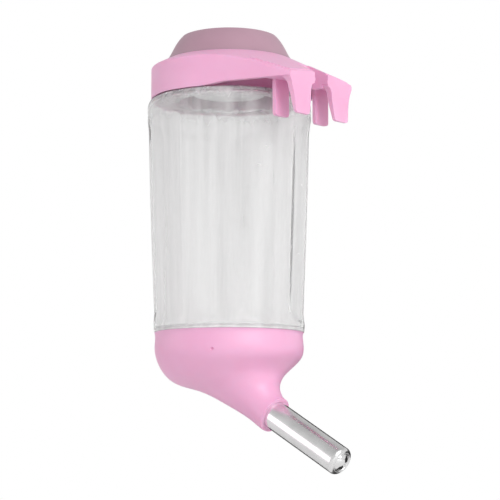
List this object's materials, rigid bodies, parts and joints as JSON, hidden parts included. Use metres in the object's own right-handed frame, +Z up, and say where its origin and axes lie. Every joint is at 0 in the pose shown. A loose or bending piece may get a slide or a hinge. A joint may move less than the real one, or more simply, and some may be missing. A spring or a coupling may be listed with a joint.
{
  "type": "rabbit water bottle",
  "caption": "Hanging water bottle for a small animal cage: clear eight-sided bottle, screw-on funnel with a ball-valve drinking tube, refill lid and a hook bracket for cage wire.",
  "frame": {"origin": "middle of the horizontal cage wire, halfway between the two hooks, level with the roofs of the hook saddles", "axes": "+Z up, +X through the cage wall in the direction that the hooks and the drinking tube point, +Y along the cage wire"},
  "size_m": [0.0976, 0.0702, 0.1876],
  "materials": {
    "pink_plastic": "satin",
    "clear_plastic": "clear gloss",
    "mauve_plastic": "satin",
    "seal_rubber": "matt",
    "tube_steel": "polished",
    "white_plastic": "satin",
    "spring_steel": "drawn wire",
    "ball_steel": "polished"
  },
  "bodies": {
    "bracket": {"bracket": "pink_plastic"},
    "bottle": {"bottle_body": "clear_plastic"},
    "lid_carrier": {"lid_gasket": "seal_rubber"},
    "lid": {"lid_shell": "mauve_plastic", "lid_cup": "clear_plastic"},
    "base_carrier": {"base_gasket": "seal_rubber"},
    "base": {"base_funnel": "pink_plastic", "spout_tube": "tube_steel", "spout_seal": "seal_rubber", "spring_retainer": "white_plastic", "ball_spring": "spring_steel"},
    "ball": {"tip_ball": "ball_steel"}
  },
  "joints": [
    {"name": "bottle_swivel", "type": "hinge", "parent": "bracket", "child": "bottle", "pos_m": [-0.045, 0, 0], "axis": [0, 0, 1], "continuous": true},
    {"name": "lid_lift", "type": "slide", "parent": "bottle", "child": "lid_carrier", "axis": [0, 0, 1], "range_m": [0, 0.024]},
    {"name": "lid_turn", "type": "hinge", "parent": "lid_carrier", "child": "lid", "pos_m": [-0.045, 0, 0], "axis": [0, 0, 1], "range_deg": [0, 1080]},
    {"name": "base_drop", "type": "slide", "parent": "bottle", "child": "base_carrier", "axis": [0, 0, -1], "range_m": [0, 0.012]},
    {"name": "base_turn", "type": "hinge", "parent": "base_carrier", "child": "base", "pos_m": [-0.045, 0, 0], "axis": [0, 0, -1], "range_deg": [0, 540]},
    {"name": "ball_press", "type": "slide", "parent": "base", "child": "ball", "axis": [-0.8704, 0, 0.4924], "range_m": [0, 0.002], "stiffness_N_per_m": 60, "springref_m": -0.004, "deforming": ["ball_spring"]}
  ],
  "couplings": [
    {"joint": "lid_lift", "follows": "lid_turn", "m_per_rad": 0.0012732},
    {"joint": "base_drop", "follows": "base_turn", "m_per_rad": 0.0012732}
  ]
}
